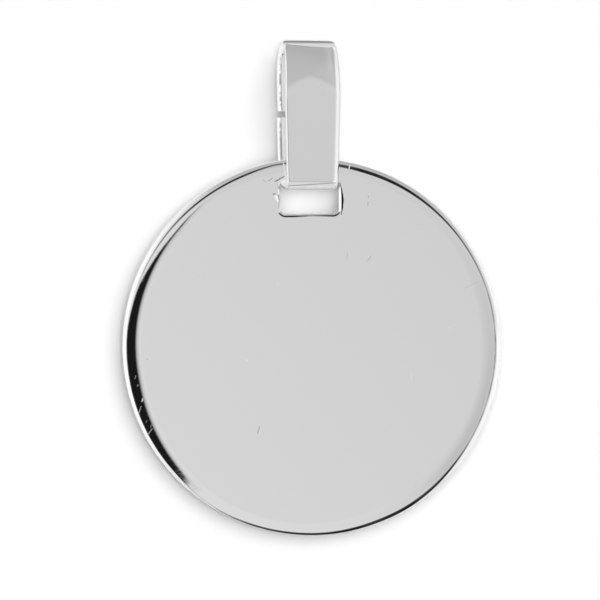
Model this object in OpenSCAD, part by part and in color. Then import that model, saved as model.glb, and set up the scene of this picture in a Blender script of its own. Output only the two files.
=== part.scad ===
// Plain round silver disc pendant with a folded strip bail, lying face up
// Millimetres. +Y from the disc to the bail, +Z up, floor at z = 0, origin under the middle of the box.

/* [Disc] */
// Diameter of the disc
disc_d = 20; // [16:0.5:26]
// Thickness of the disc
disc_t = 1; // [0.8:0.05:1]
// Width of the soft fall at the edge of each face
fall_w = 0.5; // [0.3:0.05:0.7]
// Radius of the soft fall
fall_r = 2.4; // [2:0.1:4]
// Radius of the rim's edges
rim_r = 0.25; // [0.15:0.01:0.28]
// Turn of the disc in its own plane
disc_turn = 0.85; // [-0.5:0.05:2]

/* [Slot] */
// Width of the slot
slot_w = 3.34; // [3.3:0.02:4]
// Height of the slot
slot_h = 1.92; // [1.4:0.02:2.6]
// Radius of the slot's corners
slot_corner_r = 0.3; // [0.2:0.02:0.32]
// Metal between the slot and the rim
bridge_h = 1.05; // [0.9:0.01:1.2]
// Size of the slot's eased edges
slot_edge = 0.18; // [0.1:0.01:0.22]

/* [Bail] */
// Length of the bail over its folds
bail_l = 7.9; // [6.5:0.1:10]
// Width of the strip at its widest
bail_w = 3; // [2.2:0.02:3]
// Width of the strip at the lower fold
bail_low_w = 2.76; // [2:0.02:2.78]
// Height of the widest place above the lower fold
belly_y = 5; // [4:0.1:6]
// Thickness of the strip
strip_t = 0.4; // [0.35:0.01:0.4]
// Depth of the bail over its outer faces
bail_d = 2.85; // [2.85:0.05:3.6]
// Radius of the strip's right outer edge
soft_r = 0.34; // [0.2:0.01:0.34]
// Radius of the strip's left outer edge
crisp_r = 0.1; // [0.06:0.01:0.15]
// Width of the open seam at the back
seam_gap = 0.3; // [0.1:0.05:0.5]
// Height of the seam's middle above the lower fold
seam_y = 4.02; // [3:0.02:5]
// How far the upper end stands back at the seam's left
seam_shift = 0.08; // [0:0.01:0.15]
// Lean of the bail to the right
bail_lean = 9.5; // [0:0.25:9.5]
// Room between the bridge and the lower fold's inside
seat_gap = 0.3; // [0.3:0.01:0.4]
// How far the bail sits to the right of the slot's middle
bail_side = -0.016; // [-0.03:0.002:0.03]

/* [Hidden] */
disc_r = disc_d / 2;
half_t = disc_t / 2;
// The rim's profile: flat face, soft fall, then the edge, each tangent to the next
fall_start = disc_r - rim_r - fall_w * (fall_r - rim_r) / fall_r;
fall_end = fall_start + fall_w;
rim_mid = disc_r - rim_r;
rim_z = half_t - fall_r + sqrt(pow(fall_r - rim_r, 2) - pow(rim_mid - fall_start, 2));
slot_y = disc_r - bridge_h - slot_h / 2;
fold_r = bail_d / 2;
belly_taper = (bail_w - bail_low_w) / 2 / belly_y;
trim = 0.02;
bail_y = disc_r - bridge_h - seat_gap - strip_t;
// The lower fold passes through the middle of the slot
bail_x = bail_side - slot_y * sin(disc_turn) - fold_r * sin(bail_lean);
bail_z = (bail_w / 2 + trim - soft_r) * sin(bail_lean) + soft_r * (1 - cos(bail_lean));
// The disc rests on the floor at its far rim, and its bridge lies half way up the bail's lower fold
fold_z = bail_z + fold_r * cos(bail_lean);
rise_turn = 7.2;
rest_y = fall_start + (disc_r - bridge_h + slot_edge) * cos(rise_turn);
first_tilt = asin((fold_z - half_t) / rest_y);
tilt = asin((fold_z - half_t - (fall_r - half_t) * (1 - cos(first_tilt))) / rest_y);
disc_z = fall_start * sin(tilt) - (fall_r - half_t) * cos(tilt) + fall_r;
lean_y = sin(tilt) * cos(rise_turn);
low_y = rim_mid * sqrt(1 - lean_y * lean_y) + rim_z * lean_y + rim_r;
shift_y = (low_y - bail_y - bail_l) / 2;
silver = [0.8, 0.8, 0.81];

disc();
bail();

module disc() {
    color(silver)
        translate([0, shift_y, disc_z])
            rotate([0, 0, -rise_turn])
                rotate([tilt, 0, 0])
                    rotate([0, 0, rise_turn + disc_turn])
                        difference() {
                            rotate_extrude($fn = 180) rim_profile();
                            translate([0, slot_y, 0]) slot_cut();
                        }
}

// Half of the disc's section, from its axis to the rim
module rim_profile() {
    translate([0, -half_t]) square([fall_start, disc_t]);
    translate([fall_end, -rim_z]) square([disc_r - fall_end, 2 * rim_z]);
    for (side = [0, 1])
        mirror([0, side]) {
            intersection() {
                translate([fall_start, half_t - fall_r]) circle(r = fall_r, $fn = 360);
                translate([fall_start, 0]) square([fall_w, disc_t]);
            }
            intersection() {
                translate([rim_mid, rim_z]) circle(r = rim_r, $fn = 48);
                translate([fall_end, 0]) square([disc_r, disc_t]);
            }
        }
}

// The slot with eased edges on both faces
module slot_cut() {
    wx = slot_w / 2 - slot_corner_r;
    wy = slot_h / 2 - slot_corner_r;
    translate([-slot_w / 2, -wy, -disc_t]) cube([slot_w, 2 * wy, 2 * disc_t]);
    translate([-wx, -slot_h / 2, -disc_t]) cube([2 * wx, slot_h, 2 * disc_t]);
    for (sx = [-1, 1])
        for (sy = [-1, 1])
            translate([sx * wx, sy * wy, -disc_t])
                cylinder(r = slot_corner_r, h = 2 * disc_t, $fn = 48);
    for (side = [0, 1])
        mirror([0, 0, side]) {
            for (sx = [0, 1])
                mirror([sx, 0, 0]) {
                    translate([wx, wy, half_t]) rotate([90, 0, 0]) linear_extrude(2 * wy) edge_cut();
                    translate([wx, wy, half_t]) rotate_extrude(angle = 90, $fn = 48) edge_cut();
                    translate([wx, -wy, half_t]) rotate([0, 0, -90]) rotate_extrude(angle = 90, $fn = 48) edge_cut();
                }
            for (sy = [0, 1])
                mirror([0, sy, 0])
                    translate([-wx, wy, half_t]) rotate([90, 0, 90]) linear_extrude(2 * wx) edge_cut();
        }
}

// Section of the room above one eased edge, from the middle of a corner outwards
module edge_cut() {
    centre = 1.25 * slot_edge;
    edge_r = sqrt(pow(centre, 2) + pow(centre - slot_edge, 2));
    difference() {
        translate([0, -slot_edge]) square([slot_corner_r + centre, 2 * slot_edge]);
        translate([slot_corner_r + centre, -centre]) circle(r = edge_r, $fn = 72);
    }
}

module bail() {
    color(silver)
        translate([bail_x, shift_y + bail_y, bail_z])
            rotate([0, bail_lean, 0])
                difference() {
                    intersection() {
                        strip_loop();
                        strip_outline();
                    }
                    seam_step();
                }
}

// The strip bent round both folds, open at the seam
module strip_loop() {
    back_low = seam_y - seam_gap / 2 - fold_r;
    back_high = bail_l - fold_r - seam_y - seam_gap / 2;
    translate([0, bail_l - fold_r, fold_r])
        rotate([0, 90, 0]) {
            rotate_extrude(angle = 180, $fn = 96) strip_profile();
            rotate([90, 0, 0]) linear_extrude(back_high) strip_profile();
            rotate([90, 0, 180]) mirror([0, 0, 1]) linear_extrude(bail_l - bail_d) strip_profile();
        }
    translate([0, fold_r, fold_r])
        rotate([0, 90, 0]) {
            rotate([0, 0, 180]) rotate_extrude(angle = 180, $fn = 96) strip_profile();
            translate([0, back_low, 0]) rotate([90, 0, 0]) linear_extrude(back_low) strip_profile();
        }
}

// Section of the strip at its distance from a fold's axis, a little wider than the outline that trims it
module strip_profile() {
    inner = fold_r - strip_t;
    side = bail_w / 2 + trim;
    translate([inner, crisp_r - side]) square([strip_t, 2 * side - soft_r - crisp_r]);
    translate([inner, side - soft_r]) square([strip_t - soft_r, soft_r]);
    translate([inner, -side]) square([strip_t - crisp_r, crisp_r]);
    intersection() {
        translate([fold_r - soft_r, side - soft_r]) circle(r = soft_r, $fn = 64);
        translate([inner, side - soft_r]) square([strip_t, soft_r]);
    }
    translate([fold_r - crisp_r, crisp_r - side]) circle(r = crisp_r, $fn = 32);
}

// The strip's outline from the front, widest at the belly
module strip_outline() {
    low = bail_low_w / 2 - belly_taper;
    wide = bail_w / 2;
    high = wide - belly_taper * (bail_l + 1 - belly_y);
    translate([0, 0, -1])
        linear_extrude(bail_d + 2)
            polygon([[-low, -1], [low, -1], [wide, belly_y], [high, bail_l + 1], [-high, bail_l + 1], [-wide, belly_y]]);
}

// What the upper end at the seam lacks at its left edge
module seam_step() {
    translate([0, 0, -1])
        linear_extrude(strip_t + 1.2)
            polygon([[-bail_w, seam_y], [seam_shift - bail_w / 2, seam_y], [-bail_w / 2, bail_l - fold_r], [-bail_w, bail_l - fold_r]]);
}
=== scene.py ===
# Polished silver disc pendant on its folded strip bail, lying face up on a pale floor.
# Metres, in the row's frame: +Y from the disc to the bail, +Z up from the floor.
# The settings are in mm and degrees.
import math

import bpy
import numpy as np
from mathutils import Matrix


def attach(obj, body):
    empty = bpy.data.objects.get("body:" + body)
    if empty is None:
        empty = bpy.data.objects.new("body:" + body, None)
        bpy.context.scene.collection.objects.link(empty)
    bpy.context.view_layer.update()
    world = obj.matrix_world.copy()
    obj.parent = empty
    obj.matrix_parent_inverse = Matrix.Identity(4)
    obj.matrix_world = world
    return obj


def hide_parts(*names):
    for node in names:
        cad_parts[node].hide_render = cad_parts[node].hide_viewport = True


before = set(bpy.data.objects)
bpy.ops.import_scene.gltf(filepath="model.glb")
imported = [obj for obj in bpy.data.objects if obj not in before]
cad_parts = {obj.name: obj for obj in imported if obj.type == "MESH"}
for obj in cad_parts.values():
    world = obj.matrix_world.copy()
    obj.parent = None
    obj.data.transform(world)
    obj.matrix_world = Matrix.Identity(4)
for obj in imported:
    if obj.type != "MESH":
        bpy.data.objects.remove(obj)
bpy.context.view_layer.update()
mm = 0.001
print("frame loaded")


def softStep(values, low, high):
    # 0 below low, 1 above high, and 3t^2 - 2t^3 between the two
    t = np.clip((values - low) / (high - low), 0, 1)
    return t * t * (3 - 2 * t)


def softBand(values, low, high, fade):
    # 1 between low and high, with a soft step of that half width at both
    return softStep(values, low - fade, low + fade) * (1 - softStep(values, high - fade, high + fade))


def softLine(gap, half, fade):
    # 1 where the gap is below half the line's width, with a soft step at its border
    return 1 - softStep(gap - half, -fade, fade)


def turnMatrix(axis, degrees):
    # the plain rotation by that angle about x, y or z
    c, s = math.cos(math.radians(degrees)), math.sin(math.radians(degrees))
    rows = {"x": [[1, 0, 0], [0, c, -s], [0, s, c]],
            "y": [[c, 0, s], [0, 1, 0], [-s, 0, c]],
            "z": [[c, -s, 0], [s, c, 0], [0, 0, 1]]}
    return np.array(rows[axis])


def roundCurve(knots, degrees, soften):
    # the value by direction: straight lines between the (angle, value) pairs, then a weighted mean
    # over that many degrees to each side
    perDegree = 4
    count = 360 * perDegree
    half = perDegree * soften
    angles, values = zip(*knots)
    ring = np.interp(np.arange(-half, count + half) / perDegree, angles, values, period=360)
    window = np.hanning(2 * half + 3)[1:-1]
    mean = np.convolve(ring, window / window.sum(), mode="valid")
    return np.interp(degrees, np.arange(count) / perDegree, mean, period=360)


def gridPiece(name, points, body, capped):
    # points[row, column] is a skin whose columns close on themselves; its rows close too, or each end
    # gets a fan; the faces are turned if the volume inside them comes out negative
    rows, columns = points.shape[:2]
    index = np.arange(rows * columns).reshape(rows, columns)
    low = index[:-1] if capped else index
    high = index[1:] if capped else np.roll(index, -1, axis=0)
    quads = np.stack([low, np.roll(low, -1, axis=1), np.roll(high, -1, axis=1), high], axis=-1).reshape(-1, 4)
    corners = points.reshape(-1, 3)
    faces = quads.tolist()
    if capped:
        middles = np.stack([points[0].mean(axis=0), points[-1].mean(axis=0)])
        corners = np.concatenate([corners, middles])
        first, last = np.full(columns, rows * columns), np.full(columns, rows * columns + 1)
        faces += np.stack([first, np.roll(index[0], -1), index[0]], axis=-1).tolist()
        faces += np.stack([last, index[-1], np.roll(index[-1], -1)], axis=-1).tolist()
    a, b, c, d = (corners[quads[:, k]] for k in range(4))
    inside = np.einsum("ij,ij->i", np.cross(c - a, d - b), a + c).sum()
    if inside < 0:
        faces = [face[::-1] for face in faces]
    mesh = bpy.data.meshes.new(name)
    mesh.from_pydata((corners * mm).tolist(), [], faces)
    mesh.polygons.foreach_set("use_smooth", [True] * len(mesh.polygons))
    mesh.update()
    piece = bpy.data.objects.new(name, mesh)
    bpy.context.scene.collection.objects.link(piece)
    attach(piece, body)
    return piece


def paintValue(piece, name, values):
    # one number a corner point, kept with the mesh for its material to read; a fan's middle gets 0
    layer = piece.data.attributes.new(name, "FLOAT", "POINT")
    padded = np.zeros(len(piece.data.vertices))
    padded[:values.size] = values.ravel()
    layer.data.foreach_set("value", padded)


def feed(tree, socket, value):
    # a socket takes another node's output or a plain number
    if isinstance(value, bpy.types.NodeSocket):
        tree.links.new(value, socket)
    else:
        socket.default_value = value


def addMath(tree, operation, *values):
    node = tree.nodes.new("ShaderNodeMath")
    node.operation = operation
    for socket, value in zip(node.inputs, values):
        feed(tree, socket, value)
    return node.outputs[0]


def addProduct(tree, first, *others):
    for other in others:
        first = addMath(tree, "MULTIPLY", first, other)
    return first


def addLimits(tree, value, low, high):
    return addMath(tree, "MINIMUM", addMath(tree, "MAXIMUM", value, low), high)


def addRamp(tree, value, low, high, start=0.0, end=1.0):
    # a soft step of the value from low to high, between start and end
    node = tree.nodes.new("ShaderNodeMapRange")
    node.interpolation_type = "SMOOTHSTEP"
    numbers = {"Value": value, "From Min": low, "From Max": high, "To Min": start, "To Max": end}
    for key, number in numbers.items():
        feed(tree, node.inputs[key], number)
    return node.outputs["Result"]


def addBlend(tree, share, first, second):
    # first where the share is 0, second where it is 1
    node = tree.nodes.new("ShaderNodeMix")
    node.data_type = "FLOAT"
    for key, number in {"Factor": share, "A": first, "B": second}.items():
        feed(tree, node.inputs[key], number)
    return node.outputs["Result"]


def addNoise(tree, place, scale, detail):
    node = tree.nodes.new("ShaderNodeTexNoise")
    for key, number in {"Vector": place, "Scale": scale, "Detail": detail}.items():
        feed(tree, node.inputs[key], number)
    return node.outputs["Fac"]


def addVector(tree, operation, first, second):
    node = tree.nodes.new("ShaderNodeVectorMath")
    node.operation = operation
    feed(tree, node.inputs[0], first)
    feed(tree, node.inputs["Scale" if operation == "SCALE" else 1], second)
    return node.outputs["Value" if operation in ("DOT_PRODUCT", "LENGTH") else "Vector"]


def addAttribute(tree, name):
    node = tree.nodes.new("ShaderNodeAttribute")
    node.attribute_name = name
    return node.outputs["Fac"]


def addGrey(tree, value):
    node = tree.nodes.new("ShaderNodeCombineColor")
    for socket in node.inputs[:3]:
        feed(tree, socket, value)
    return node.outputs["Color"]


def addPlace(tree, turn=0.0, stretch=(1.0, 1.0, 1.0)):
    # Object coordinates in mm, turned about Z and stretched
    coordinates = tree.nodes.new("ShaderNodeTexCoord")
    node = tree.nodes.new("ShaderNodeMapping")
    node.inputs["Rotation"].default_value = (0.0, 0.0, math.radians(turn))
    node.inputs["Scale"].default_value = [number / mm for number in stretch]
    tree.links.new(coordinates.outputs["Object"], node.inputs["Vector"])
    return node.outputs["Vector"]


def addStroke(tree, plan, x0, y0, x1, y1, half):
    # 1 near the straight stroke between two points of the floor plan, fading to 0 at its half width
    way = (x1 - x0, y1 - y0, 0.0)
    size = max(way[0] ** 2 + way[1] ** 2, 1e-9)
    offset = addVector(tree, "SUBTRACT", plan, (x0, y0, 0.0))
    along = addMath(tree, "MULTIPLY", addVector(tree, "DOT_PRODUCT", offset, way), 1 / size)
    nearest = addVector(tree, "SCALE", way, addLimits(tree, along, 0.0, 1.0))
    gap = addVector(tree, "LENGTH", addVector(tree, "SUBTRACT", offset, nearest), (0.0, 0.0, 0.0))
    return addRamp(tree, gap, half, half * 0.3)


def addStrokes(tree, plan, strokes):
    # the strongest of many strokes
    total = 0.0
    for x0, y0, x1, y1, half, strength in strokes:
        stroke = addMath(tree, "MULTIPLY", addStroke(tree, plan, x0, y0, x1, y1, half), strength)
        total = addMath(tree, "MAXIMUM", stroke, total)
    return total


silverLook = {
    "colour": 0.92,
    "roughness": 0.035,
    "smudge": 0.02,           # how much the roughness varies over a few mm
    "smudgeScale": 0.6,       # how many smudges there are in a mm, about
    "smudgeNoise": (0.35, 0.7),  # the values of the noise between which it varies
    "insideRoughness": 0.55,
    "insideMetal": 0.40,      # the hidden sides stay frosted from the making
    "insideShade": 0.84,     # and have this share of the colour, a painted shade
    "insideGlow": 0.13,      # painted light: a glow standing in for light that goes to and fro between them
    "shadeAndMarkDark": 0.98,      # the share of the colour that the painted shade lines and dark marks take
    "shadeRoughness": 0.3,  # what the painted shade lines add to the roughness
    "strokeRoughness": 0.35,
    # painted glint: how much a bright stroke glows
    "glintLight": 0.15,
    "wave": 0.5,              # height of the slow unevenness of the polish, in thousandths of a mm
    "waveScale": 0.35,
    "scratch": 0.06,          # depth of the finest scratches, in thousandths of a mm
    "scratchWidth": 0.012,    # how near to its middle value the noise makes a scratch
    "scratchStretch": (0.25, 9.0, 1.0),
    "scratchTurns": (12.0, 64.0, 118.0, 155.0),
}


def silverShade(tree, look, glint, shadeAndMarks, frostAndGlow):
    # darker under the painted shade lines and dark marks, painted shade on the frosted sides, and a painted
    # white glint on a bright stroke
    shade = addMath(tree, "MULTIPLY_ADD", shadeAndMarks, -look["colour"] * look["shadeAndMarkDark"], look["colour"])
    shade = addMath(tree, "MULTIPLY", shade, addBlend(tree, frostAndGlow, 1.0, look["insideShade"]))
    return addBlend(tree, glint, shade, 1.0)


def silverPolish(tree, look, place, glint, paintedShade, frostAndGlow):
    # rougher in smudges, on the frosted sides, under the painted shade lines and on a bright stroke
    smudges = addNoise(tree, place, look["smudgeScale"], 3.0)
    finest, coarsest = look["roughness"] - look["smudge"] / 2, look["roughness"] + look["smudge"] / 2
    polish = addRamp(tree, smudges, *look["smudgeNoise"], finest, coarsest)
    polish = addBlend(tree, frostAndGlow, polish, look["insideRoughness"])
    polish = addMath(tree, "MULTIPLY_ADD", paintedShade, look["shadeRoughness"], polish)
    return addBlend(tree, glint, polish, look["strokeRoughness"])


def silverHeight(tree, look, place):
    # slow waves, and hairlines where a stretched noise passes its middle value, in a few directions
    height = addMath(tree, "MULTIPLY", addNoise(tree, place, look["waveScale"], 1.0), look["wave"])
    for turn in look["scratchTurns"]:
        hair = addNoise(tree, addPlace(tree, turn, look["scratchStretch"]), 1.0, 1.0)
        gap = addMath(tree, "ABSOLUTE", addMath(tree, "SUBTRACT", hair, 0.5))
        line = addRamp(tree, gap, 0.0, look["scratchWidth"], -look["scratch"], 0.0)
        height = addMath(tree, "ADD", height, line)
    return height


def silverMaterial(name, look, brightStrokes, darkStrokes):
    # mirror silver with scratches painted with a glint, dark marks, painted shade and dark reflection lines,
    # and frosted hidden sides with painted shade and a painted glow
    material = bpy.data.materials.new(name)
    material.use_nodes = True
    tree = material.node_tree
    shader = tree.nodes["Principled BSDF"]
    place = addPlace(tree)
    paintedShade = addAttribute(tree, "paintedShade")
    frostAndGlow = addAttribute(tree, "frostAndGlow")
    plan = addVector(tree, "MULTIPLY", place, (1.0, 1.0, 0.0))
    glint = addStrokes(tree, plan, brightStrokes)
    shadeAndMarks = addMath(tree, "MAXIMUM", paintedShade, addStrokes(tree, plan, darkStrokes))
    # painted light: the frosted sides glow, standing in for light going to and fro between them
    glow = addMath(tree, "MULTIPLY", frostAndGlow, look["insideGlow"])
    bump = tree.nodes.new("ShaderNodeBump")
    bump.inputs["Distance"].default_value = 0.001 * mm
    feed(tree, bump.inputs["Height"], silverHeight(tree, look, place))
    looks = {
        "Base Color": addGrey(tree, silverShade(tree, look, glint, shadeAndMarks, frostAndGlow)),
        # the painted shade and dark marks darken the reflection at grazing angles too
        "Specular Tint": addGrey(tree, addMath(tree, "SUBTRACT", 1.0, shadeAndMarks)),
        "Metallic": addBlend(tree, frostAndGlow, 1.0, look["insideMetal"]),
        "Roughness": silverPolish(tree, look, place, glint, paintedShade, frostAndGlow),
        # painted light: the emission makes the glints and the frosted sides glow
        "Emission Color": (1.0, 1.0, 1.0, 1.0),
        "Emission Strength": addMath(tree, "MULTIPLY_ADD", glint, look["glintLight"], glow),
        "Normal": bump.outputs["Normal"],
    }
    for key, value in looks.items():
        feed(tree, shader.inputs[key], value)
    return material


discSet = {
    "radius": 9.992,
    "halfThick": 0.5,
    "centre": (0.0, -3.073606, 1.061460),  # as it lies on its far rim and on the bail, with its tilt
    "tilt": 3.43927,
    "riseTurn": 7.2,          # the way in which the disc rises towards the bail, from +Y towards +X
    "turn": 0.85,
    "slotWidth": 3.08,
    "slotHeight": 1.92,
    "slotCorner": 0.3,
    "slotY": 7.99,
    # the slot's worn edge at the front: its depth and its width by direction from the slot's middle
    "slotDrop": ((0, 0.13), (177, 0.13), (179.5, 0.32), (192, 0.24), (199, 0.13), (359, 0.13)),
    "slotEase": ((0, 0.31), (23, 0.12), (90, 0.13), (150, 0.15), (178, 0.15), (179.5, 0.32), (197, 0.10),
                 (211, 0.12), (222, 0.15), (318, 0.15), (329, 0.20), (352, 0.34)),
    "backEase": 0.2,
    "wallFrostAndGlow": (0.2, 0.14),  # the slot's frosted, glowing wall (painted light) ends between these depths under both faces
    # where the face starts to fall, by direction
    "fallStart": ((10, 8.98), (45, 9.25), (60, 9.30), (124, 9.30), (138, 8.96), (172, 8.95), (190, 8.84),
                  (205, 8.96), (222, 9.13), (238, 9.30), (266, 9.30), (300, 9.02), (320, 8.96)),
    "backStart": 9.302,
    "fallDegrees": 12.0,      # how steep the fall gets
    "fallPower": 1.5,
    "flankPower": 2.2,        # how late the flank turns upright
    "backEdge": 9.80,         # where the face meets the rounded rim at the back
    # the edge between the fall and the flank by direction: its radius, half the width of its painted dark
    # line (a painted dark reflection), how dark the line is
    "edgeLine": (
        (0, 9.72, 0.03, 0.45), (20, 9.742, 0.03, 0.60), (40, 9.72, 0.04, 0.95), (60, 9.713, 0.074, 1.0),
        (72, 9.692, 0.087, 1.0), (82, 9.71, 0.07, 0.9), (92, 9.75, 0.045, 0.85), (100, 9.82, 0.03, 0.85),
        (110, 9.733, 0.05, 1.0), (120, 9.707, 0.045, 1.0), (132, 9.695, 0.038, 1.0), (142, 9.70, 0.03, 0.75),
        (152, 9.71, 0.03, 0.35), (160, 9.725, 0.03, 0.0), (190, 9.74, 0.03, 0.0), (200, 9.76, 0.03, 0.0),
        (210, 9.78, 0.03, 0.0), (222, 9.80, 0.03, 0.0), (232, 9.88, 0.03, 0.15), (240, 9.942, 0.03, 0.55),
        (250, 9.923, 0.045, 1.0), (262, 9.908, 0.055, 1.0), (275, 9.905, 0.065, 1.0),
        (290, 9.861, 0.085, 1.0), (300, 9.872, 0.085, 1.0), (310, 9.824, 0.07, 1.0),
        (320, 9.758, 0.045, 1.0), (332, 9.717, 0.03, 0.45), (345, 9.705, 0.03, 0.40)),
    "lineFade": 0.02,
    "lineUneven": (0.01, 0.4),  # how much the line's darkness varies where it is dark, and more where faint
    # painted dark reflection below the slot: from and to as distances from its outline, its gain at the ends,
    # its fade
    "footLine": (0.07, 0.095, 0.055, 0.02),
    "footMiddle": 0.2,        # the place along X where it is thinnest
    "footBelow": (0.82, 0.92),  # it starts between these distances below the slot's middle
    # strokes: bright ones are scratches with a painted glint, dark ones are dark marks; x and y of both ends
    # on the floor plan, half width, strength
    "brightStrokes": (
        (-1.77, 0.22, -1.77, 0.22, 0.05, 0.8), (-3.45, -3.78, -3.41, -3.80, 0.05, 0.8),
        (7.28, -2.09, 7.28, -2.09, 0.05, 0.7), (5.27, -4.54, 5.29, -4.98, 0.03, 0.35),
        (-1.48, 6.61, -1.38, 5.95, 0.045, 0.9), (1.98, 6.33, 2.02, 6.49, 0.045, 1.0),
        (-9.33, -4.78, -9.28, -4.62, 0.04, 0.5), (-9.20, -5.18, -9.16, -5.10, 0.045, 0.5),
        (-8.91, -5.85, -8.96, -5.97, 0.06, 0.8), (-9.00, -6.23, -9.11, -6.56, 0.04, 0.6),
        (-8.75, -7.10, -8.70, -6.98, 0.04, 0.4), (-8.43, -7.43, -8.60, -7.67, 0.04, 0.6),
        (-8.50, -7.36, -8.47, -7.22, 0.04, 0.35), (3.02, 4.76, 2.99, 4.60, 0.04, 0.6),
        (-1.90, 4.86, -1.80, 4.64, 0.12, 1.0)),
    "darkStrokes": (
        (-2.74, -7.30, -2.85, -7.65, 0.04, 0.35), (-8.67, -3.75, -8.67, -3.75, 0.05, 0.3),
        (1.92, 1.88, 1.86, 1.56, 0.03, 0.2), (3.15, 1.71, 2.97, 1.46, 0.035, 0.25),
        (3.01, 4.88, 2.97, 4.35, 0.035, 0.3), (8.06, 0.00, 8.77, 0.34, 0.03, 0.08),
        (-1.92, 5.65, -1.69, 5.74, 0.045, 0.7), (-1.67, 5.78, -1.44, 5.90, 0.045, 0.7),
        (-2.27, 5.66, -2.06, 5.82, 0.04, 0.35), (-2.55, 5.72, -2.40, 5.60, 0.035, 0.2),
        (-2.02, 4.96, -1.92, 4.98, 0.04, 0.8), (1.33, 5.66, 1.40, 5.52, 0.04, 0.7),
        (1.655, 4.30, 1.60, 4.05, 0.035, 0.9), (1.60, 4.05, 1.562, 3.88, 0.03, 0.8),
        (-1.735, 4.95, -1.735, 4.20, 0.022, 0.45)),
    # the grid: columns round the slot, rows over its worn edge, rows over the fall and the flank each
    "columns": 720,
    "easeRows": 19,
    "rimRows": 24,
    "faceSteps": (0.02, 0.04, 0.08, 0.14, 0.24, 0.4),  # rows of the face that follow the slot's edge
    # the face's other rows, from there to the fall
    "faceShares": (0.03, 0.1, 0.25, 0.5, 0.75, 0.9, 0.97, 1.0),
    "wallShares": (0.1, 0.3, 0.5, 0.7, 0.9),  # rows of the rim's upright wall
}


def slotContour(s, angles, offset):
    # the rounded rectangle, grown outwards by the offset, where rays from its middle at those angles cross it
    c, d = np.cos(angles), np.sin(angles)
    halfX, halfY, r = s["slotWidth"] / 2 + offset, s["slotHeight"] / 2 + offset, s["slotCorner"] + offset
    reach = np.minimum(halfX / np.maximum(np.abs(c), 1e-9), halfY / np.maximum(np.abs(d), 1e-9))
    cornerX, cornerY = (halfX - r) * np.sign(c), (halfY - r) * np.sign(d)
    along = cornerX * c + cornerY * d
    inCircle = np.maximum(along ** 2 - (cornerX ** 2 + cornerY ** 2 - r ** 2), 0)
    atCorner = (np.abs(reach * c) > halfX - r) & (np.abs(reach * d) > halfY - r)
    reach = np.where(atCorner, along + np.sqrt(inCircle), reach)
    return np.stack([reach * c, s["slotY"] + reach * d], axis=-1)


def level(plan, z):
    # points of the plan at one height, or each at its own
    return np.concatenate([plan, np.broadcast_to(np.reshape(z, (-1, 1)), (len(plan), 1))], axis=-1)


def slotRows(s, rays, ease, drop, side):
    # a quarter ellipse from the slot's wall to the flat face, then rows that follow it on the face
    # there is little face between the slot and the near rim, so they keep closer there
    half = s["halfThick"]
    room = 0.1 + 0.9 * softStep(-np.sin(rays), -0.2, 0.3)
    rows = []
    for turn in np.radians(np.linspace(90, 0, s["easeRows"])):
        contour = slotContour(s, rays, ease * (1 - math.sin(turn)))
        rows.append(level(contour, side * (half - drop * (1 - math.cos(turn)))))
    for step in s["faceSteps"]:
        rows.append(level(slotContour(s, rays, ease + step * room), side * half))
    return rows


def faceRows(s, inner, outer, z):
    return [level(inner + (outer - inner) * share, z) for share in s["faceShares"]]


def rimRows(s, outward, edgeAt, startAt, side, fallPower, flankPower):
    # the slope grows with t^fallPower over the fall; on the flank the slope's sine grows with
    # u^flankPower up to 1, which is upright
    steepest = math.radians(s["fallDegrees"])
    span, steep, low = edgeAt - startAt, math.tan(steepest), math.sin(steepest)
    steps = np.linspace(0, 1, s["rimRows"] + 1)
    rows = []
    for t in steps[1:]:
        height = s["halfThick"] - steep * span * t ** (fallPower + 1) / (fallPower + 1)
        rows.append((startAt + span * t, height))
    u = 1 - (1 - steps) ** 2
    slope = np.arcsin(low + (1 - low) * u ** flankPower)
    drop = np.cumsum(np.diff(u) * np.tan((slope[1:] + slope[:-1]) / 2))
    width = s["radius"] - edgeAt
    edgeHeight = rows[-1][1]
    for share, down in zip(u[1:], drop):
        rows.append((edgeAt + width * share, edgeHeight - width * down))
    return [level(outward * r[:, None], side * z) for r, z in rows]


def discPoints(s):
    # columns are rays from the slot's middle; rows go up the slot's wall, over its worn edge, across the
    # face, down the fall, down the flank to upright, along the rim, and back under the disc
    rays = np.linspace(0, 2 * np.pi, s["columns"], endpoint=False)
    c, d = np.cos(rays), np.sin(rays)
    reach = -s["slotY"] * d + np.sqrt(s["radius"] ** 2 - (s["slotY"] * c) ** 2)
    rimAngle = np.arctan2(s["slotY"] + reach * d, reach * c)
    degrees = np.degrees(rimAngle)
    outward = np.stack([np.cos(rimAngle), np.sin(rimAngle)], axis=-1)
    edge = roundCurve([row[:2] for row in s["edgeLine"]], degrees, 4)
    start = roundCurve(s["fallStart"], degrees, 4)
    ease, drop = (roundCurve(s[key], np.degrees(rays), 1) for key in ("slotEase", "slotDrop"))

    front = slotRows(s, rays, ease, drop, 1)
    front += faceRows(s, front[-1][:, :2], outward * start[:, None], s["halfThick"])
    front += rimRows(s, outward, edge, start, 1, s["fallPower"], s["flankPower"])

    plain = np.ones_like(edge)
    backStart = plain * s["backStart"]
    back = slotRows(s, rays, plain * s["backEase"], s["backEase"], -1)
    back += faceRows(s, back[-1][:, :2], outward * backStart[:, None], -s["halfThick"])
    back += rimRows(s, outward, plain * s["backEdge"], backStart, -1, 1.0, 1.0)

    wall = [front[-1] + (back[-1] - front[-1]) * share for share in s["wallShares"]]
    back = back[::2]  # the hidden side does with half the rows
    return np.stack(front + wall + back[::-1]), edge, degrees, front[-1][:, 2]


def placeDisc(s, points):
    flatTurn = turnMatrix("z", s["riseTurn"] + s["turn"])
    turn = turnMatrix("z", -s["riseTurn"]) @ turnMatrix("x", s["tilt"]) @ flatTurn
    return points @ turn.T + np.array(s["centre"])


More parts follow.
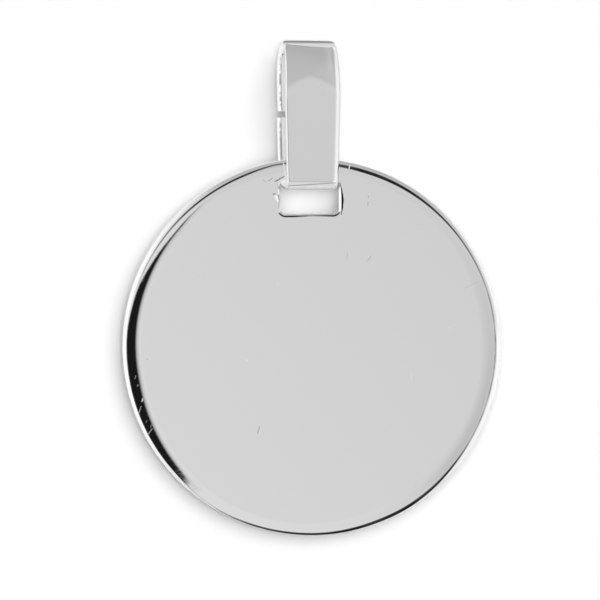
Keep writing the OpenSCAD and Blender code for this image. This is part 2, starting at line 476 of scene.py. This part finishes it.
def edgeShadeLine(s, points, edge, degrees, upright):
    # a painted dark reflection along the edge, its width and darkness by direction, a little uneven
    r = np.hypot(points[..., 0], points[..., 1])
    widths, darks = ([(row[0], row[column]) for row in s["edgeLine"]] for column in (2, 3))
    half, dark = (roundCurve(knots, degrees, 3) for knots in (widths, darks))
    broken = np.random.default_rng(5).normal(size=len(degrees))
    broken = np.convolve(np.pad(broken, 2, mode="wrap"), (0.5, 0.7, 0.7, 0.7, 0.5), mode="valid")
    least, more = s["lineUneven"]
    faint = np.clip(1.1 - 1.5 * dark, 0, 1)
    dark = np.clip(dark * (1 + (least + more * faint) * broken), 0, 1)
    line = softLine(np.abs(r - edge), half, s["lineFade"])
    return dark * line * (points[..., 2] >= upright - 0.001)


def footShadeLine(s, points):
    # a painted dark reflection just below the slot, by the distance from its outline, wider towards both ends
    corner = s["slotCorner"]
    besideX = np.abs(points[..., 0]) - s["slotWidth"] / 2 + corner
    besideY = np.abs(points[..., 1] - s["slotY"]) - s["slotHeight"] / 2 + corner
    away = np.hypot(np.maximum(besideX, 0), np.maximum(besideY, 0)) - corner
    first, final, gain, fade = s["footLine"]
    final = final + gain * np.clip(np.abs(points[..., 0] - s["footMiddle"]), 0, 1)
    low = softStep(s["slotY"] - points[..., 1], *s["footBelow"])
    return softBand(away, first, final, fade) * low * (points[..., 2] > 0)


def discFrostAndGlow(s, points):
    # the slot's upright walls stay frosted as they were punched, with painted shade and a painted glow
    inSlot = np.hypot(points[..., 0], points[..., 1] - s["slotY"]) < s["slotWidth"] / 2 + s["backEase"]
    deepest, highest = (s["halfThick"] - depth for depth in s["wallFrostAndGlow"])
    return inSlot * (1 - softStep(np.abs(points[..., 2]), deepest, highest))


flatDisc, edgeAt, rimDegrees, uprightAt = discPoints(discSet)
disc = gridPiece("polishedDisc", placeDisc(discSet, flatDisc), "root", False)
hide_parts("disc")
# painted dark reflections: the line along the rim's edge and the one below the slot
rimShadeLine = edgeShadeLine(discSet, flatDisc, edgeAt, rimDegrees, uprightAt)
paintValue(disc, "paintedShade", np.maximum(rimShadeLine, footShadeLine(discSet, flatDisc)))
paintValue(disc, "frostAndGlow", discFrostAndGlow(discSet, flatDisc))
discSilver = silverMaterial("discSilver", silverLook, discSet["brightStrokes"], discSet["darkStrokes"])
disc.data.materials.append(discSilver)
print("disc:", len(disc.data.polygons), "faces")


bailSet = {
    "length": 7.9,
    "depth": 2.85,
    "thick": 0.4,
    "place": (-0.37, 5.172394, 0.199420),  # the lower fold's tip, under the middle of the strip
    "lean": 9.5,
    "bellyHalf": 1.50,        # half width at its widest
    "bellyY": 5.0,
    "taper": 0.024,           # loss of half width for each mm away from there
    "softCorner": 0.34,       # outer right edge
    "crispCorner": 0.13,      # outer left edge
    "innerCorner": (0.07, 0.28),  # inner right and inner left edge
    "seamLow": 3.87,
    "seamHigh": 4.17,
    "seamShift": 0.06,        # how far the upper end stands back at the left
    "endEase": 0.04,          # how round the edges of the cut ends are
    "endHalf": 1.35,          # half width from which on a cut end is eased in full
    "endRows": 2,             # rows at each end of the path that give way to the rings of the cut end
    "endRings": 4,
    "backWide": 0.05,         # how much further the back run reaches at the left
    "frontFrom": 1.6,         # from this height above the back the strip counts as the front
    "backTo": 0.2,            # and below this one it is all back
    # the folds are quarter ellipses: length along Y and depth
    "lowFront": (0.50, 0.60),
    "lowBack": 0.9,
    "topFront": (2.4, 1.27),
    "topBack": 1.4,
    "topArch": 0.7,           # how much sooner the top fold starts at the sides
    "topSkew": 0.14,          # how much deeper the top fold's crest lies at the right than at the middle
    "topFrom": (1.5, 1.7),    # its painted dark line and painted shade start between these heights above the back
    "topShade": 0.26,         # how much darker the painted shade makes the steep part under the crest
    "topSteep": (0.62, 0.72),  # and the slopes between which it starts
    "crestLine": (0.15, 0.60),  # the painted dark line along the crest: width, and how dark
    # thin painted dark line over the lower fold: its height, its rise to the right, half its width, how dark
    "foldLine": (0.30, 0.08, 0.03, 0.42),
    "foldFade": 0.012,
    "insideLine": (0.10, 0.21, 0.55),  # painted dark line inside the back runs' left edge: from and to, and how dark
    "lineFade": 0.02,
    # painted shade at the sides: from and to, as distances inside the strip's edge, and how dark
    "rightShade": ((0.30, 0.08, 0.12), (0.07, 0.03, 0.30)),
    "leftShade": (0.13, 0.09, 0.10),
    "innerFrostAndGlow": (0.392, 0.399),  # depth in the strip at which its frosted inner face, painted with shade and glow, begins
    "flankGlow": (0.12, 0.15),  # and at which the left side, frosted and painted with a glowing highlight, begins
    "flankTop": (1.2, 1.5),   # it ends between these heights above the lower fold
    # how much more painted glow there is inside the lower fold, and the heights between which it ends
    "foldGlowGain": (1.4, 0.6, 1.6),
    "foldUnderGlow": (0.07, 0.13),  # the lower fold's underside is rough and painted with a glow from here down
    # the grid: points across each flat, and steps along each run and fold
    "acrossSteps": 16,
    "backSteps": 20,
    "frontSteps": 24,
    "foldSteps": 34,
    "topSteps": 48,
}


def bailSection(s):
    # the strip's outline, once round: share of the half width from -1 to 1, its own step across from
    # there, and its depth below the outer face
    thick, (innerRight, innerLeft) = s["thick"], s["innerCorner"]
    # columns: side, depth of the face, radius, from and to in degrees, points
    corners = ((-1, 0, s["crispCorner"], 180, 90, 9), (1, 0, s["softCorner"], 90, 0, 13),
               (1, thick, innerRight, 360, 270, 9), (-1, thick, innerLeft, 270, 180, 9))
    flats = np.linspace(0, 1, s["acrossSteps"] + 2)[1:-1]
    side, x, depth = [], [], []
    for which, (share, face, r, begin, end, count) in enumerate(corners):
        a = np.radians(np.linspace(begin, end, count))
        side.append(np.full(a.shape, float(share)))
        x.append(-share * r + r * np.cos(a))
        depth.append((r if face == 0 else thick - r) - r * np.sin(a))
        if which in (0, 2):  # a flat follows: the outer face, and the inner one
            nextR = corners[which + 1][2]
            side.append(share * (1 - 2 * flats))
            x.append(share * (-r * (1 - flats) + nextR * flats))
            depth.append(np.full(flats.shape, float(face)))
    return np.concatenate(side), np.concatenate(x), np.concatenate(depth)


def bailPath(s, across):
    # the outer line of the loop for each place across: back run down, quarter ellipses round the lower
    # fold, front run up, quarter ellipses round the top fold, back run down to the seam; and its normal
    length, depth = s["length"], s["depth"]
    lowY, lowZ = s["lowFront"]
    topY, topZ = s["topFront"]
    topY = topY + s["topArch"] * across ** 2
    crest = depth - topZ - s["topSkew"] * across
    ones = np.ones_like(across)
    tip = (depth - lowZ) * ones
    points, normals = [], []

    def straight(y0, y1, z, nz, steps):
        for share in np.linspace(0, 1, steps):
            points.append(np.stack([(y0 + (y1 - y0) * share) * ones, z * ones], axis=-1))
            normals.append(np.stack([0 * ones, nz * ones], axis=-1))

    def quarter(cy, cz, a, b, begin, end, steps):
        for angle in np.radians(np.linspace(begin, end, steps)[1:-1]):
            points.append(np.stack([(cy + a * math.cos(angle)) * ones, cz + b * math.sin(angle)], axis=-1))
            n = np.stack([b * math.cos(angle), a * math.sin(angle) * ones], axis=-1)
            normals.append(n / np.linalg.norm(n, axis=-1, keepdims=True))

    straight(s["seamLow"], s["lowBack"], 0.0, -1.0, s["backSteps"])
    quarter(s["lowBack"], tip, s["lowBack"], tip, 270, 180, s["foldSteps"])
    quarter(lowY, tip, lowY, lowZ * ones, 180, 90, s["foldSteps"])
    straight(lowY, length - topY, depth, 1.0, s["frontSteps"])
    quarter(length - topY, crest, topY, depth - crest, 90, 0, s["topSteps"])
    quarter(length - s["topBack"], crest, s["topBack"], crest, 0, -90, s["foldSteps"])
    straight(length - s["topBack"], s["seamHigh"], 0.0, -1.0, s["backSteps"])
    return np.stack(points), np.stack(normals)


def bailSkin(s):
    # the section carried along the path; its half width follows the belly
    side, x, depth = bailSection(s)
    outer, normal = bailPath(s, side)
    halfWidth = s["bellyHalf"] - s["taper"] * np.abs(outer[..., 0] - s["bellyY"])
    return {
        "side": side,
        "depth": depth,
        "pathY": outer[..., 0],
        "pathZ": outer[..., 1],
        "steep": normal[..., 0],
        "y": outer[..., 0] - normal[..., 0] * depth,
        "z": outer[..., 1] - normal[..., 1] * depth,
        "halfWidth": halfWidth,
        "across": side * halfWidth + x,
    }


def bailPoints(s, skin):
    # at the left the upper end stands back towards the seam, and the back reaches a little further
    along = np.arange(len(skin["y"]))[:, None] / (len(skin["y"]) - 1)
    lastRun = softStep(along, 0.8, 0.86)  # 0 on the lower fold and its two runs, 1 on the upper back run
    upper = lastRun * softStep(-skin["pathY"], -(s["length"] - s["topBack"]), -s["seamHigh"])
    behind = softStep(-skin["pathZ"], -s["frontFrom"], -s["backTo"])
    left = np.maximum(-skin["side"], 0)
    across = skin["across"] + (s["seamShift"] * upper - s["backWide"] * behind) * left
    return np.stack([across, skin["y"], skin["z"]], axis=-1)


def easeEnds(s, points):
    # the cut ends: rings that are drawn in along a quarter circle
    ease = s["endEase"]
    rings = {}
    for end, way in ((0, 1), (-1, -1)):
        ring = points[end]
        middle = np.array([0.0, ring[0, 1], s["thick"] / 2])
        inward = np.clip((ring - middle) / np.array([s["endHalf"], 1.0, s["thick"] / 2]), -1, 1)
        inward[:, 1] = 0
        rings[end] = []
        for a in np.radians(np.linspace(90, 0, s["endRings"])):
            moved = ring - inward * ease * (1 - math.sin(a))
            moved[:, 1] += way * ease * (math.cos(a) - 1)
            rings[end].append(moved)
    kept = points[s["endRows"]:-s["endRows"]]
    return np.concatenate([np.stack(rings[0][::-1]), kept, np.stack(rings[-1])])


def onRings(s, values, mode):
    # the path's values row by row as the eased skin has them
    kept = values[s["endRows"]:-s["endRows"]]
    return np.pad(kept, ((s["endRings"], s["endRings"]), (0, 0)), mode=mode)


def bailShadeLines(s, skin):
    # painted dark reflections and painted shade: along the crest and on the steep part under it, over the
    # lower fold, at both outer edges, and inside the back runs' left edge
    side, depth, y, z = (skin[key] for key in ("side", "depth", "y", "z"))
    onFace, nearFace = depth < 0.05, depth < 0.1  # the outer face, and with the start of its rounded edges
    onTop, onBack = skin["pathZ"] > s["topFrom"][0], skin["pathZ"] < 0.3
    fromRight, fromLeft = skin["across"] - skin["halfWidth"], -skin["across"] - skin["halfWidth"]
    fade = s["lineFade"]
    width, dark = s["crestLine"]
    crest = (1 - softStep(s["length"] - y, width - fade, width + fade)) * softStep(z, *s["topFrom"]) * dark
    steep = softStep(skin["steep"], *s["topSteep"]) * onTop * nearFace * s["topShade"]
    right = sum(softStep(fromRight, -begin, -final) * dark for begin, final, dark in s["rightShade"])
    right = right * (depth < s["softCorner"] + 0.01)
    begin, final, dark = s["leftShade"]
    left = softStep(fromLeft, -begin, -final) * (depth < s["crispCorner"] + 0.01) * dark
    lineY, rise, half, dark = s["foldLine"]
    front = (skin["pathZ"] > s["frontFrom"]) * onFace
    fold = softLine(np.abs(y - lineY - rise * side), half, s["foldFade"]) * front * dark
    begin, final, dark = s["insideLine"]
    # the painted line inside the left edge is mottled at random along the strip
    mottle = np.random.default_rng(8).normal(size=(len(y), 1))
    belowSeam, aboveSeam = np.clip(0.9 + 0.2 * mottle, 0, 1), np.clip(0.3 + 0.4 * mottle, 0, 1)
    mottle = np.where(skin["pathY"] < s["seamLow"], belowSeam, aboveSeam)
    inside = softBand(skin["halfWidth"] + skin["across"], begin, final, fade)
    inside = inside * mottle * dark * (depth > s["thick"] / 2) * onBack
    return np.maximum.reduce([crest, fold, right, left, steep, inside])


def bailFrostAndGlow(s, skin):
    # the inner face and the left side by the lower fold are frosted, and its underside rough; all get painted
    # shade and a painted glow
    depth, y = skin["depth"], skin["y"]
    light, lightFrom, lightTo = s["foldGlowGain"]
    inFold = 1 + light * (1 - softStep(y, lightFrom, lightTo))
    flank = softStep(depth, *s["flankGlow"]) * (skin["side"] < -0.99) * (1 - softStep(y, *s["flankTop"]))
    under = (1 - softStep(y, *s["foldUnderGlow"])) * (skin["pathZ"] > 1.2)
    return np.maximum(np.maximum(softStep(depth, *s["innerFrostAndGlow"]), flank) * inFold, under)


def placeBail(s, points):
    return points @ turnMatrix("y", s["lean"]).T + np.array(s["place"])


bailStrip = bailSkin(bailSet)
flatBail = easeEnds(bailSet, bailPoints(bailSet, bailStrip))
bail = gridPiece("foldedBail", placeBail(bailSet, flatBail), "root", True)
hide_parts("bail")
paintValue(bail, "paintedShade", onRings(bailSet, bailShadeLines(bailSet, bailStrip), "constant"))
paintValue(bail, "frostAndGlow", onRings(bailSet, bailFrostAndGlow(bailSet, bailStrip), "edge"))
bail.data.materials.append(silverMaterial("bailSilver", silverLook, (), ()))
print("bail:", len(bail.data.polygons), "faces")


stageSet = {
    "floorHalf": 2.0,         # metres
    "floorColour": 0.85,
    "floorRoughness": 0.9,
    "floorGloss": 0.1,
    "skyForCamera": 0.95,
    "lamps": {                # strength, degrees spanned, height above the floor, degrees from +X towards +Y
        "overheadLight": (0.72, 22.5, 85.6, 4.0),
        "frontLight": (0.64, 40.0, 80.0, 225.0),
        "slopingLight": (0.41, 59.0, 71.7, 59.0),
        "rightLight": (0.98, 45.0, 60.0, 15.0),
        "farLight": (0.62, 45.0, 60.0, 100.0),
        "sideLight": (0.89, 42.0, 41.3, 61.0),
    },
    "slotPower": 0.034,       # watts of a small spot that lights the floor seen through the slot
    "slotPlace": (-0.52, 4.48, 60.0),
    "slotReach": 2.2,         # radius of its light on the floor
    "slotSoft": 0.5,
}


def paleFloor(s):
    half = s["floorHalf"]
    mesh = bpy.data.meshes.new("paleFloor")
    corners = [(-half, -half, 0), (half, -half, 0), (half, half, 0), (-half, half, 0)]
    mesh.from_pydata(corners, [], [(0, 1, 2, 3)])
    floor = bpy.data.objects.new("paleFloor", mesh)
    bpy.context.scene.collection.objects.link(floor)
    material = bpy.data.materials.new("paleFloor")
    material.use_nodes = True
    shader = material.node_tree.nodes["Principled BSDF"]
    shader.inputs["Base Color"].default_value = (s["floorColour"],) * 3 + (1.0,)
    shader.inputs["Roughness"].default_value = s["floorRoughness"]
    shader.inputs["Specular IOR Level"].default_value = s["floorGloss"]
    mesh.materials.append(material)


def newLamp(name, kind, power):
    # it lights the floor, and the metal doesn't mirror it
    light = bpy.data.lights.new(name, kind)
    light.energy = power
    lamp = bpy.data.objects.new(name, light)
    lamp.visible_glossy = False
    bpy.context.scene.collection.objects.link(lamp)
    return lamp


def softLamps(s):
    # large soft lights from above and the upper right, and a small spot over the slot
    for name, (strength, size, height, turn) in s["lamps"].items():
        lamp = newLamp(name, "SUN", strength)
        lamp.data.angle = math.radians(size)
        lamp.rotation_euler = (math.radians(90 - height), 0.0, math.radians(turn + 90))
    lamp = newLamp("slotLight", "SPOT", s["slotPower"])
    lamp.location = [number * mm for number in s["slotPlace"]]
    lamp.data.spot_size = 2 * math.atan(s["slotReach"] / s["slotPlace"][2])
    lamp.data.spot_blend = 1.0
    lamp.data.shadow_soft_size = s["slotSoft"] * mm


# The pendant mirrors a light tent. A place in it is named by a slope: (x, y) / (1 + z) of its direction,
# which is the slope of a mirror that shows it to someone looking straight down.
tentSet = {
    "zenith": 0.697,
    "faceSlope": (-0.0074, -0.059),  # the slope of the disc's flat face
    "grade": 2.0,             # how fast the top brightens towards the lower left of that place
    "gradeLimits": (-0.03, 0.02),
    "wallFrom": (0.17, 0.75),  # between these slopes the top turns into the walls
    "sideFrom": (0.55, 1.0),  # a wall counts as a side wall between these shares of its slope along X
    "sideBright": 1.07,       # left and right walls
    "farDim": 0.58,           # far wall
    "nearDim": 0.73,          # near wall
    "wallTurn": 0.1,          # the near wall turns into the far one within this slope along Y to both sides
    "ring": 0.24,             # brighter lower edge of the top, at the left and in the near half
    "ringIn": (0.2, 0.3),     # it starts and ends between these slopes
    "ringOut": (0.65, 0.45),
    "ringSide": (0.55, 0.75),  # shares of the slope along X between which it starts
    "ringLeft": (0.02, -0.02),  # slopes along X, and along Y, between which it starts
    "ringNear": (0.0, -0.05),
    "farShade": 0.19,         # how much darker the slope to the far wall is
    "farFrom": (0.08, 0.16),  # slopes along Y between which it starts
    "farMiddle": 0.167,       # the slope along X that the bail's front shows, where the shade begins later
    "farBend": 0.6,           # how much sooner it begins to both sides of that
    "farSooner": 0.03,        # and at most this much
    "farSide": (0.98, 0.88),  # it ends between these shares of the slope along X
    "farReach": (0.38, 0.30),  # and between these slopes along X
    "patchMiddle": (0.13, -0.135),  # round shade at the near right
    "patchRadius": 0.17,
    "patchCore": 0.02,
    "patchShade": 0.11,
    "panelDark": 0.01,        # dark panel at the left
    "panelTurn": -5.0,        # the direction, from +X, along which its slopes are counted
    "panelFrom": (-0.053, -0.085),
    "panelTop": (0.012, 0.002),  # slopes along Y between which it starts
    "panelMiddle": (-0.014, -0.062),  # the panel's far border is a circle about the face's own slope
    "panelRadius": 0.238,
    "panelSoft": 0.022,
    # its straight borders: share of the slope along X, along Y, offset, softness
    "panelBehind": (0.743, -0.669, 0.147, 0.004),
    "panelUnder": (-0.725, 0.688, 0.031, 0.005),
    "panelShade": 0.32,       # soft shade before it
    "shadeFrom": (-0.024, -0.062),
    "shadeTop": (0.0, -0.05),
    "shadeUnder": 0.01,
}


def slopeAway(tree, slope, middle):
    # distance in slope from that place
    dx, dy = (addMath(tree, "SUBTRACT", part, start) for part, start in zip(slope, middle))
    return addMath(tree, "SQRT", addMath(tree, "ADD", addProduct(tree, dx, dx), addProduct(tree, dy, dy)))


def slopeAlong(tree, slope, x, y, offset):
    # the slope's share along (x, y), plus an offset
    alongX = addMath(tree, "MULTIPLY_ADD", slope[0], x, offset)
    return addMath(tree, "ADD", alongX, addProduct(tree, slope[1], y))


def tentWalls(tree, s, slope, reach, sideways):
    # the graded top, then bright side walls, a dim near wall and a dimmer far one
    lean = addMath(tree, "ADD", addMath(tree, "ADD", *slope), -sum(s["faceSlope"]))
    top = addMath(tree, "MULTIPLY_ADD", addLimits(tree, lean, *s["gradeLimits"]), -s["grade"], s["zenith"])
    dim = addRamp(tree, slope[1], -s["wallTurn"], s["wallTurn"], s["nearDim"], s["farDim"])
    wall = addBlend(tree, addRamp(tree, sideways, *s["sideFrom"]), dim, s["sideBright"])
    return addBlend(tree, addRamp(tree, reach, *s["wallFrom"]), top, wall)


def tentRing(tree, s, slope, reach, sideways):
    # brighter where the top meets the side walls
    left, near = addRamp(tree, slope[0], *s["ringLeft"]), addRamp(tree, slope[1], *s["ringNear"])
    return addProduct(tree, addRamp(tree, reach, *s["ringIn"]), addRamp(tree, reach, *s["ringOut"]),
                      addRamp(tree, sideways, *s["ringSide"]), addMath(tree, "MAXIMUM", left, near))


def tentFar(tree, s, slope, absX, sideways):
    # the far slope's shade begins sooner on both sides of the place that the bail's front shows
    aside = addMath(tree, "ABSOLUTE", addMath(tree, "SUBTRACT", slope[0], s["farMiddle"]))
    border = addMath(tree, "MULTIPLY_ADD", aside, s["farBend"], slope[1])
    border = addMath(tree, "MINIMUM", border, addMath(tree, "ADD", slope[1], s["farSooner"]))
    return addProduct(tree, addRamp(tree, border, *s["farFrom"], 0.0, s["farShade"]),
                      addRamp(tree, sideways, *s["farSide"]), addRamp(tree, absX, *s["farReach"]))


def tentPanel(tree, s, slope):
    # the dark panel's share, and the soft shade before it
    turn = math.radians(s["panelTurn"])
    across = slopeAlong(tree, slope, math.cos(turn), math.sin(turn), 0.0)
    *border, behindSoft = s["panelBehind"]
    behind = slopeAlong(tree, slope, *border)
    *border, underSoft = s["panelUnder"]
    under = slopeAlong(tree, slope, *border)
    away = slopeAway(tree, slope, s["panelMiddle"])
    within = addRamp(tree, away, s["panelRadius"], s["panelRadius"] - s["panelSoft"])
    panel = addProduct(tree, addRamp(tree, across, *s["panelFrom"]), within,
                       addRamp(tree, slope[1], *s["panelTop"]),
                       addRamp(tree, behind, -behindSoft, behindSoft),
                       addRamp(tree, under, -underSoft, underSoft))
    shade = addProduct(tree, addRamp(tree, across, *s["shadeFrom"], 0.0, s["panelShade"]),
                       addRamp(tree, slope[1], *s["shadeTop"]),
                       addRamp(tree, under, -s["shadeUnder"], s["shadeUnder"]), within)
    return panel, shade


def lightTent(s, skyForCamera):
    # the tent as a world, which lights nothing but mirrors; the camera itself sees an even sky
    world = bpy.data.worlds.new("lightTent")
    bpy.context.scene.world = world
    world.use_nodes = True
    world.cycles_visibility.diffuse = False
    tree = world.node_tree
    tree.nodes.clear()
    coordinates = tree.nodes.new("ShaderNodeTexCoord")
    parts = tree.nodes.new("ShaderNodeSeparateXYZ")
    tree.links.new(coordinates.outputs["Generated"], parts.inputs["Vector"])
    below = addMath(tree, "MAXIMUM", addMath(tree, "ADD", parts.outputs["Z"], 1.0), 0.05)
    slope = [addMath(tree, "DIVIDE", parts.outputs[axis], below) for axis in "XY"]
    reach = addMath(tree, "MAXIMUM", slopeAway(tree, slope, (0.0, 0.0)), 0.0001)
    absX = addMath(tree, "ABSOLUTE", slope[0])
    sideways = addMath(tree, "DIVIDE", absX, reach)

    light = tentWalls(tree, s, slope, reach, sideways)
    light = addMath(tree, "MULTIPLY_ADD", tentRing(tree, s, slope, reach, sideways), s["ring"], light)
    light = addProduct(tree, light, addMath(tree, "SUBTRACT", 1.0, tentFar(tree, s, slope, absX, sideways)))
    fromPatch = slopeAway(tree, slope, s["patchMiddle"])
    patch = addRamp(tree, fromPatch, s["patchRadius"], s["patchCore"], 0.0, s["patchShade"])
    light = addMath(tree, "SUBTRACT", light, patch)
    panel, shade = tentPanel(tree, s, slope)
    light = addProduct(tree, light, addMath(tree, "SUBTRACT", 1.0, shade))
    light = addBlend(tree, panel, light, s["panelDark"])

    seen = tree.nodes.new("ShaderNodeLightPath")
    background = tree.nodes.new("ShaderNodeBackground")
    background.inputs["Color"].default_value = (1.0, 1.0, 1.0, 1.0)
    strength = addBlend(tree, seen.outputs["Is Camera Ray"], light, skyForCamera)
    feed(tree, background.inputs["Strength"], strength)
    output = tree.nodes.new("ShaderNodeOutputWorld")
    tree.links.new(background.outputs["Background"], output.inputs["Surface"])


cameraSet = {
    "middle": (-0.6075, -0.6165),  # the point of the floor plan at the picture's middle
    "wide": 31.68,            # mm across the picture at the face's height
    "faceHeight": 1.55,
    "lens": 720.0,
    "sensor": 36.0,
}


def topCamera(s):
    camera = bpy.data.cameras.new("topCamera")
    camera.lens = s["lens"]
    camera.sensor_width = s["sensor"]
    holder = bpy.data.objects.new("topCamera", camera)
    height = s["faceHeight"] + s["wide"] * s["lens"] / s["sensor"]
    holder.location = (s["middle"][0] * mm, s["middle"][1] * mm, height * mm)
    bpy.context.scene.collection.objects.link(holder)
    bpy.context.scene.camera = holder


paleFloor(stageSet)
softLamps(stageSet)
lightTent(tentSet, stageSet["skyForCamera"])
topCamera(cameraSet)
bpy.context.scene.view_settings.view_transform = "Standard"
print("floor, light and camera ready")
